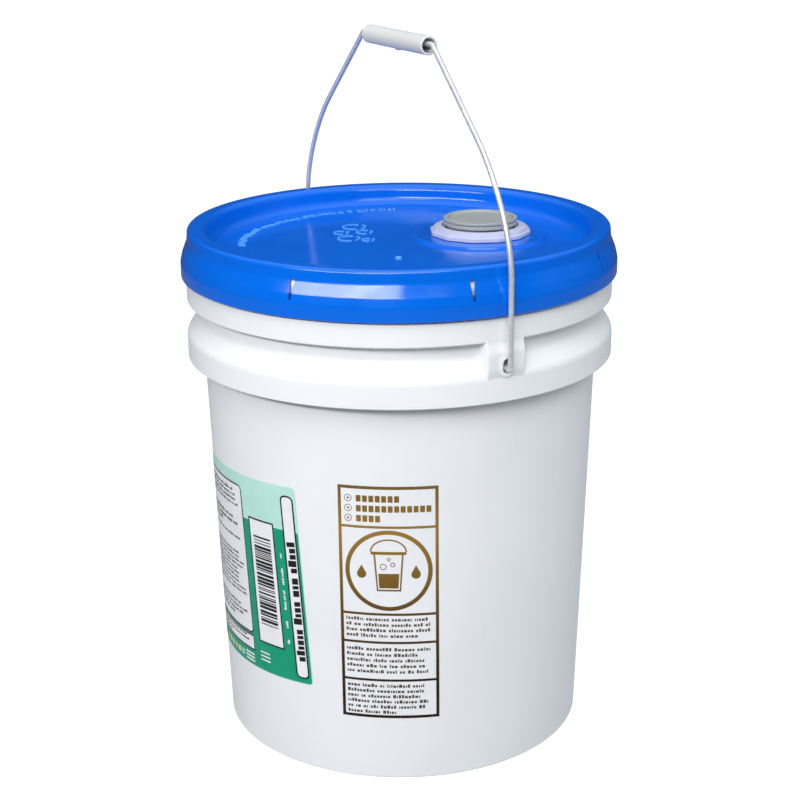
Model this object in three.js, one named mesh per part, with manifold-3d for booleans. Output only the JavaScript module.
// A five US gallon open-head plastic pail: tapered shell with two bail ears, tear-slot lid,
// pull-up pour spout with a screw cap, and a wire bail with a tube grip.
// Millimetres, +Z up. The pail stands on z = 0 with its axis on x = y = 0, and the two bail
// ears stand on the X axis. Every round piece is a profile turned about a vertical axis.
import * as THREE from 'three';
import { mergeVertices } from 'three/addons/utils/BufferGeometryUtils.js';
import Module from 'manifold-3d';

const wasm = await Module();
wasm.setup();

// ---- driving dimensions ----

const BODY_SIDES = 48; // facets round the pail, the lid and their seals
const SPOUT_SIDES = 32; // facets round the spout pieces
const GAP = 0.3; // room between neighbouring pieces

const FOOT_R = 131.4; // outer radius of the side wall, carried down to the floor
const TAPER = 0.0343; // growth of that radius per millimetre of height
const WALL = 2.4; // wall thickness of the shell
const BASE_Z = 14.5; // underside of the base panel, held up by the foot ring
const RIM_TOP = 364; // top of the pail's rim

const BAND_R = 152.6; // handle band: outer radius
const BAND_BOTTOM = 279.6; // handle band: lower edge
const RING_R = 151.9; // lock ring under the lid: outer radius
const RING_BOTTOM = 320.6; // lock ring: underside

const EAR_FACE = 153.5; // flat front of an ear, from the pail's axis
const EAR_WIDTH = 32;
const EAR_PLATE = 3; // thickness of the plate that the wire passes through
const PIVOT_Z = 302.5; // axis that the bail swings about

const LID_R = 155.3; // lid skirt: outer radius
const LID_TOP = 371.2; // top of the lid's crown
const LID_EDGE = 338; // lower edge of the lid's skirt
const PANEL_TOP = 356.5; // top of the recessed lid panel
const PANEL_THICK = 2.2;
const SLOT_COUNT = 8; // tear slots round the skirt
const SLOT_FIRST_DEG = -8.8;

const SPOUT_OFFSET = 62; // spout axis from the pail's axis
const SPOUT_DEG = 81.2; // direction of the spout, in line with a tear slot
const PLATFORM_TOP = 358.2; // raised round seat under the spout
const COLLAR_R = 32.4; // upstanding collar of the lid round the spout hole
const HOLE_R = 30.4;
const CAP_R = 26.4;
const NECK_R = 20.6;
const NECK_TOP = 366;
const THREAD_PITCH = 4;

const WIRE_R = 1.8;
const LEG_X = 158.4; // bail legs from the pail's axis
const BAIL_TOP = 500; // centre of the wire through the grip
const GRIP_R = 6.5;
const GRIP_BORE = 5;
const GRIP_LENGTH = 90;
const GRIP_SLIDE = 2.5; // how far the grip has slid along the wire, to +X
const GRIP_DROP = 1.2; // how far the grip's own centre is below the wire's

const LABEL_BOTTOM = 66;
const LABEL_TOP = 214;
const LABEL_FROM_DEG = 129.5;
const LABEL_TO_DEG = 303.5;

const rad = THREE.MathUtils.degToRad;
const wallR = (z) => FOOT_R + TAPER * z;

// ---- materials ----

const plastic = (color, roughness) => new THREE.MeshStandardMaterial({ color, roughness, metalness: 0 });
const shellWhite = plastic(0xeef0f2, 0.38);
const lidBlue = plastic(0x0b5fe0, 0.25);
const spoutWhite = plastic(0xe6e8f2, 0.4);
const bellowsWhite = plastic(0xdfe2ea, 0.5);
const capGrey = plastic(0xa9aeb0, 0.42);
const sealRubber = plastic(0x2b2d30, 0.8);
const foamWhite = plastic(0xf2f2ee, 0.85);
const gripWhite = plastic(0xf1f1ef, 0.4);
const labelGreen = plastic(0x12a374, 0.45);
const wireZinc = new THREE.MeshStandardMaterial({ color: 0xb9bcc0, roughness: 0.35, metalness: 0.9 });

// ---- making solids ----

// A closed three.js geometry as a manifold: corners welded, collapsed triangles dropped.
function solid(geometry) {
  const bare = geometry.clone();
  bare.deleteAttribute('normal');
  bare.deleteAttribute('uv');
  const welded = mergeVertices(bare, 1e-4);
  const corners = welded.index.array;
  const triangles = [];
  for (let i = 0; i < corners.length; i += 3) {
    const [a, b, c] = [corners[i], corners[i + 1], corners[i + 2]];
    if (a !== b && b !== c && c !== a) {
      triangles.push(a, b, c);
    }
  }
  const vertProperties = new Float32Array(welded.attributes.position.array);
  const triVerts = new Uint32Array(triangles);
  return new wasm.Manifold(new wasm.Mesh({ numProp: 3, vertProperties, triVerts }));
}

// A profile of [radius, height] points turned about the vertical axis. The profile runs up the
// outside and down the inside, from axis to axis or round a closed ring.
function turned(profile, sides) {
  const points = profile.map(([r, z]) => new THREE.Vector2(r, z));
  const geometry = new THREE.LatheGeometry(points, sides);
  geometry.rotateX(Math.PI / 2);
  return solid(geometry);
}

// A ring of rectangular section.
function ring(inner, outer, bottom, top, sides) {
  return turned([[inner, bottom], [outer, bottom], [outer, top], [inner, top], [inner, bottom]], sides);
}

// A disc or plug standing on the axis.
function plug(radius, bottom, top, sides) {
  return turned([[0, bottom], [radius, bottom], [radius, top], [0, top]], sides);
}

// A box between two corners.
function block(low, high) {
  const size = high.map((value, i) => value - low[i]);
  const geometry = new THREE.BoxGeometry(...size);
  geometry.translate(...high.map((value, i) => (value + low[i]) / 2));
  return solid(geometry);
}

// An outline drawn in the (across, up) plane, pushed out along +X from one distance to another.
function radialPrism(shape, from, to, curveSegments) {
  const geometry = new THREE.ExtrudeGeometry(shape, { depth: to - from, bevelEnabled: false, curveSegments });
  geometry.applyMatrix4(new THREE.Matrix4().set(0, 0, 1, from, 1, 0, 0, 0, 0, 1, 0, 0, 0, 0, 0, 1));
  return solid(geometry);
}

// A path through a list of stations, sampled at exactly those stations.
class StationPath extends THREE.Curve {
  constructor(stations) {
    super();
    this.stations = stations;
  }

  getPoint(t, target = new THREE.Vector3()) {
    const last = this.stations.length - 1;
    const at = THREE.MathUtils.clamp(t, 0, 1) * last;
    const index = Math.min(Math.floor(at + 1e-9), last - 1);
    return target.lerpVectors(this.stations[index], this.stations[index + 1], at - index);
  }

  getPointAt(u, target) {
    return this.getPoint(u, target);
  }

  getTangentAt(u, target = new THREE.Vector3()) {
    const last = this.stations.length - 1;
    const index = Math.round(u * last);
    const before = this.stations[Math.max(index - 1, 0)];
    const here = this.stations[index];
    const after = this.stations[Math.min(index + 1, last)];
    const arriving = here.clone().sub(before).normalize();
    const leaving = after.clone().sub(here).normalize();
    return target.copy(arriving).add(leaving).normalize();
  }
}

// A round bar, or a bar of any small outline, along a list of stations.
function bar(outline, stations) {
  const path = new StationPath(stations);
  const options = { extrudePath: path, steps: stations.length - 1, bevelEnabled: false };
  return solid(new THREE.ExtrudeGeometry(outline, options));
}

function regularOutline(radius, sides) {
  const corner = (k) => {
    const angle = (2 * Math.PI * k) / sides;
    return new THREE.Vector2(radius * Math.cos(angle), radius * Math.sin(angle));
  };
  return new THREE.Shape(Array.from({ length: sides }, (_, k) => corner(k)));
}

// ---- the pail ----

// The side wall, base, foot ring, handle band, lock ring and rim bead are one moulding.
function shellProfile() {
  const floorZ = BASE_Z + WALL;
  const inner = (z) => wallR(z) - WALL;
  return [
    [0, BASE_Z], [inner(BASE_Z) - 3, BASE_Z], [inner(BASE_Z), BASE_Z - 3],
    [inner(0) - 0.6, 0], [FOOT_R - 1.4, 0], [FOOT_R - 0.4, 0.5], [wallR(2), 2],
    [wallR(298), 298], [143.5, 301.5], [146.6, 299.5], [149.3, 295.5], [BAND_R - 2.3, 291],
    [BAND_R - 2.3, BAND_BOTTOM + 0.6], [BAND_R - 1.7, BAND_BOTTOM],
    [BAND_R - 0.5, BAND_BOTTOM], [BAND_R, BAND_BOTTOM + 0.6], [BAND_R, 291.5],
    [BAND_R - 0.6, 296.5], [BAND_R - 2.2, 301.5], [147.8, 306], [145.2, 309.5], [143.9, 313],
    [143.6, 317], [144.6, RING_BOTTOM - 1.4], [RING_R - 2.4, RING_BOTTOM - 0.4],
    [RING_R - 0.7, RING_BOTTOM], [RING_R, RING_BOTTOM + 1.2], [RING_R, 334.5], [RING_R - 1.6, 336.8],
    [146.4, 338.4], [145, 341], [144.8, 347.5], [148.8, 351.5], [150, 353.4], [150, 357],
    [148.6, 360.6], [146.8, RIM_TOP - 0.8], [145, RIM_TOP], [142.6, RIM_TOP], [141.4, RIM_TOP - 1],
    [inner(350) - 0.2, 350], [inner(floorZ + 4), floorZ + 4], [inner(floorZ) - 3.4, floorZ], [0, floorZ],
  ];
}

// One ear: a block that fills the recess above the handle band, open below behind its front
// plate, with an upright oblong hole for the wire.
function cutEar(shell, side) {
  const turn = (piece) => piece.rotate([0, 0, side > 0 ? 0 : 180]);
  const halfWidth = EAR_WIDTH / 2;
  const pocketHalf = halfWidth - 5;
  const pocketTop = PIVOT_Z + 10;
  const inWall = 140.3;
  const wallFace = 143.9;
  const body = block([inWall, -halfWidth, BAND_BOTTOM], [EAR_FACE, halfWidth, RING_BOTTOM + 0.8]);
  const pocket = block([wallFace, -pocketHalf, BAND_BOTTOM - 5], [EAR_FACE - EAR_PLATE, pocketHalf, pocketTop]);
  const hole = new THREE.Shape();
  const holeR = 3;
  const holeLow = PIVOT_Z + 0.9;
  hole.absarc(0, holeLow + 3.4, holeR, 0, Math.PI, false);
  hole.absarc(0, holeLow, holeR, Math.PI, 2 * Math.PI, false);
  const bore = radialPrism(hole, EAR_FACE - EAR_PLATE - 1, EAR_FACE + 1, 8);
  return shell.add(turn(body)).subtract(turn(pocket)).subtract(turn(bore));
}

function pailShell() {
  const shell = turned(shellProfile(), BODY_SIDES);
  return cutEar(cutEar(shell, 1), -1);
}

// The wrap-round label, a skin that follows the taper of the wall.
function bodyLabel() {
  const inner = GAP;
  const outer = GAP + 0.25;
  const skin = turned([
    [wallR(LABEL_BOTTOM) + inner, LABEL_BOTTOM], [wallR(LABEL_BOTTOM) + outer, LABEL_BOTTOM],
    [wallR(LABEL_TOP) + outer, LABEL_TOP], [wallR(LABEL_TOP) + inner, LABEL_TOP],
    [wallR(LABEL_BOTTOM) + inner, LABEL_BOTTOM],
  ], BODY_SIDES);
  const fan = [new THREE.Vector2(0, 0)];
  const rays = 6;
  const reach = 170;
  for (let k = 0; k <= rays; k += 1) {
    const angle = rad(LABEL_FROM_DEG + ((LABEL_TO_DEG - LABEL_FROM_DEG) * k) / rays);
    fan.push(new THREE.Vector2(reach * Math.cos(angle), reach * Math.sin(angle)));
  }
  const depth = LABEL_TOP + 20;
  const wedge = new THREE.ExtrudeGeometry(new THREE.Shape(fan), { depth, bevelEnabled: false });
  return skin.intersect(solid(wedge));
}

// ---- the lid ----

// The lid's channel goes over the rim; its catch bead passes the rim bead with a small gap.
function lidProfile() {
  const under = PANEL_TOP - PANEL_THICK;
  return [
    [0, under], [135.4, under], [137.2, 356.4], [139, 366.4], [140.2, 368.4], [146, 368.6],
    [147.6, 367.4], [149.3, 363.4], [150.8, 359.4], [152, 355.4], [152.6, 352.6], [150.4, 350.4],
    [150.4, 345], [152.8, 343.2], [152.9, LID_EDGE + 0.7], [153.5, LID_EDGE],
    [LID_R - 0.6, LID_EDGE], [LID_R, LID_EDGE + 0.8], [LID_R, 349.5], [155, 351.5], [154.2, 355.5],
    [152.8, 360], [151.5, 363.8], [150.3, 367], [149.3, 368.9], [147.6, 370.5], [145.5, LID_TOP],
    [141, LID_TOP], [138.8, 370.2], [137.3, 368], [135.2, 358.8], [134.2, 357.2],
    [132.4, PANEL_TOP], [0, PANEL_TOP],
  ];
}

// A tear slot: round at its top, narrowing to a slit at its foot.
function tearSlot() {
  const top = 362.8;
  const foot = 349.6;
  const headR = 1.6;
  const slitHalf = 0.75;
  const outline = new THREE.Shape();
  outline.moveTo(-slitHalf, foot);
  outline.lineTo(slitHalf, foot);
  outline.lineTo(slitHalf, top - 5);
  outline.lineTo(headR, top);
  outline.absarc(0, top, headR, 0, Math.PI, false);
  outline.lineTo(-slitHalf, top - 5);
  return radialPrism(outline, 147.5, 158, 4);
}

function atSpout(piece) {
  const angle = rad(SPOUT_DEG);
  return piece.translate([SPOUT_OFFSET * Math.cos(angle), SPOUT_OFFSET * Math.sin(angle), 0]);
}

function lidCover() {
  let lid = turned(lidProfile(), BODY_SIDES);
  const seat = turned([[0, PANEL_TOP - 1], [49.4, PANEL_TOP - 1], [49.4, PANEL_TOP], [48.2, PLATFORM_TOP],
    [0, PLATFORM_TOP]], 48);
  lid = lid.add(atSpout(seat));
  lid = lid.add(atSpout(plug(COLLAR_R, PANEL_TOP - 1.2, 361, SPOUT_SIDES)));
  lid = lid.subtract(atSpout(plug(HOLE_R, PANEL_TOP - 8, 366, SPOUT_SIDES)));
  for (let k = 0; k < SLOT_COUNT; k += 1) {
    lid = lid.subtract(tearSlot().rotate([0, 0, SLOT_FIRST_DEG + (360 / SLOT_COUNT) * k]));
  }
  return lid;
}

const lidGasket = () => ring(141.2, 146, RIM_TOP + GAP, 368.1, BODY_SIDES);

// ---- the pour spout, modelled about its own axis and then moved out to its place ----

// The retaining ring: a twelve-sided cover over the lid's collar, with a skirt inside it.
function spoutBaseRing() {
  const bottom = PLATFORM_TOP + GAP;
  const top = 364.4;
  const cover = turned([[0, bottom], [36.8, bottom], [36.5, top - 0.4], [36, top], [0, top]], 12);
  const skirt = plug(HOLE_R - 0.4, 355, 360, SPOUT_SIDES);
  const channel = ring(HOLE_R - 0.4, COLLAR_R + 0.4, 354, 362.7, SPOUT_SIDES);
  return cover.add(skirt).subtract(channel).subtract(plug(27.4, 350, 370, SPOUT_SIDES));
}

const spoutGasket = () => ring(HOLE_R, COLLAR_R, 361.3, 362.4, SPOUT_SIDES);

// The flexible wall, stored folded down inside the lid: a cup with an open bottom.
function spoutBellows() {
  return turned([
    [19.2, 348.8], [26.2, 348.8], [27, 349.6], [27, 363.4], [25.6, 363.4], [25.6, 351],
    [25, 350.2], [19.2, 350.2], [19.2, 348.8],
  ], SPOUT_SIDES);
}

// The neck that the cap screws on, with a single thread of one and three quarter turns.
function spoutNeck() {
  const tube = ring(18.8, NECK_R, 350.5, NECK_TOP, SPOUT_SIDES);
  const stations = [];
  const steps = 28;
  const turns = 1.75;
  const threadR = 0.85;
  const pathR = NECK_R + 0.1;
  for (let k = 0; k <= steps; k += 1) {
    const angle = (2 * Math.PI * turns * k) / steps;
    const z = 356.4 + (THREAD_PITCH * turns * k) / steps;
    stations.push(new THREE.Vector3(pathR * Math.cos(angle), pathR * Math.sin(angle), z));
  }
  return tube.add(bar(regularOutline(threadR, 5), stations));
}

// The membrane that closes the neck until it is torn out by its ring.
function tearOutSeal() {
  const disc = plug(18.4, 355.3, 356.1, SPOUT_SIDES);
  const pull = new THREE.TorusGeometry(7, 1.1, 6, 16);
  pull.translate(0, 0, 359);
  const post = block([6.2, -1.2, 355.8], [7.8, 1.2, 358.6]);
  return disc.add(post).add(solid(pull));
}

const capLiner = () => plug(21.4, NECK_TOP + 0.4, 367.6, SPOUT_SIDES);

function spoutCap() {
  return turned([
    [0, 368], [21.9, 368], [21.9, 353.2], [22.3, 352.8], [23.5, 352.8], [23.9, 353.2], [23.9, 366.2],
    [25.8, 366.3], [CAP_R, 366.8], [CAP_R, 367.5], [26.1, 367.9], [23, 367.9], [23, 369.6],
    [22.6, 370], [20.6, 370], [20.2, 369.7], [0, 369.7],
  ], SPOUT_SIDES);
}

// One of the two half-ring pull handles, lying flat round the cap's top. It lies on the +Y side
// of the cap's own axes, and hinges about a line just inside its two ends.
function capHandle() {
  const inner = 23.3;
  const outer = 26.5;
  const end = 1.2;
  const outline = new THREE.Shape();
  const outerFrom = Math.asin(end / outer);
  const innerFrom = Math.asin(end / inner);
  outline.absarc(0, 0, outer, outerFrom, Math.PI - outerFrom, false);
  outline.absarc(0, 0, inner, Math.PI - innerFrom, innerFrom, true);
  const geometry = new THREE.ExtrudeGeometry(outline, { depth: 2, bevelEnabled: false, curveSegments: 16 });
  geometry.translate(0, 0, 368.2);
  return solid(geometry);
}

// ---- the bail ----

// Stations along a quarter or part turn in the XZ plane, about a centre.
function bend(centreX, centreZ, radius, fromDeg, toDeg, steps) {
  return Array.from({ length: steps + 1 }, (_, k) => {
    const angle = rad(fromDeg + ((toDeg - fromDeg) * k) / steps);
    return new THREE.Vector3(centreX + radius * Math.cos(angle), 0, centreZ + radius * Math.sin(angle));
  });
}

// The wire hooks up inside each ear, comes out through its hole, runs up as a leg, leans in
// over the lid and crosses through the grip.
function bailWire() {
  const tipX = 147.2;
  const hook = 2.6;
  const shoulderDeg = 41.5;
  const cornerR = 6;
  const straightTop = 446;
  const shoulder = new THREE.CubicBezierCurve3(
    new THREE.Vector3(LEG_X, 0, 362),
    new THREE.Vector3(LEG_X, 0, 388),
    new THREE.Vector3(139, 0, 423),
    new THREE.Vector3(113, 0, straightTop),
  );
  const run = (BAIL_TOP - straightTop) / Math.tan(rad(shoulderDeg));
  const cornerX = 113 - run - cornerR * Math.tan(rad(shoulderDeg / 2));
  const half = [
    new THREE.Vector3(tipX, 0, PIVOT_Z + 6.5),
    ...bend(tipX + hook, PIVOT_Z + hook, hook, 180, 270, 4),
    ...bend(LEG_X - hook, PIVOT_Z + hook, hook, 270, 360, 4),
    ...shoulder.getPoints(10),
    ...bend(cornerX, BAIL_TOP - cornerR, cornerR, 90 - shoulderDeg, 90, 3),
  ];
  const mirrored = half.map((p) => new THREE.Vector3(-p.x, 0, p.z)).reverse();
  return bar(regularOutline(WIRE_R, 10), [...half, ...mirrored]);
}

// The tube grip hangs loosely on the wire and has slid against the bend at +X.
function bailGrip() {
  const tube = ring(GRIP_BORE, GRIP_R, -GRIP_LENGTH / 2, GRIP_LENGTH / 2, 24);
  return tube.rotate([0, 90, 0]).translate([GRIP_SLIDE, 0, BAIL_TOP - GRIP_DROP]);
}

// ---- the assembly ----

function node(name, manifold, material) {
  const mesh = manifold.getMesh();
  const geometry = new THREE.BufferGeometry();
  geometry.setAttribute('position', new THREE.BufferAttribute(mesh.vertProperties, 3));
  geometry.setIndex(new THREE.BufferAttribute(mesh.triVerts, 1));
  geometry.computeVertexNormals();
  const made = new THREE.Mesh(geometry, material);
  made.name = name;
  return made;
}

const pail = new THREE.Group();
pail.add(node('pail_shell', pailShell(), shellWhite));
pail.add(node('body_label', bodyLabel(), labelGreen));

const lid = new THREE.Group();
lid.add(node('lid_cover', lidCover(), lidBlue));
lid.add(node('lid_gasket', lidGasket(), sealRubber));

// Spout pieces share one group at the spout's axis, turned so that its X points outward.
const spout = new THREE.Group();
spout.position.set(SPOUT_OFFSET * Math.cos(rad(SPOUT_DEG)), SPOUT_OFFSET * Math.sin(rad(SPOUT_DEG)), 0);
spout.rotation.z = rad(SPOUT_DEG);
spout.add(node('spout_base_ring', spoutBaseRing(), spoutWhite));
spout.add(node('spout_gasket', spoutGasket(), sealRubber));
spout.add(node('spout_bellows', spoutBellows(), bellowsWhite));
spout.add(node('spout_neck', spoutNeck(), spoutWhite));
spout.add(node('tear_out_seal', tearOutSeal(), spoutWhite));
spout.add(node('cap_liner', capLiner(), foamWhite));
spout.add(node('spout_cap', spoutCap(), capGrey));
const leftHandle = node('cap_handle_left', capHandle(), capGrey);
const rightHandle = node('cap_handle_right', capHandle(), capGrey);
rightHandle.rotation.z = Math.PI;
spout.add(leftHandle, rightHandle);
lid.add(spout);

const bail = new THREE.Group();
bail.add(node('bail_wire', bailWire(), wireZinc));
bail.add(node('bail_grip', bailGrip(), gripWhite));

const assembly = new THREE.Group();
assembly.add(pail, lid, bail);

export default assembly;
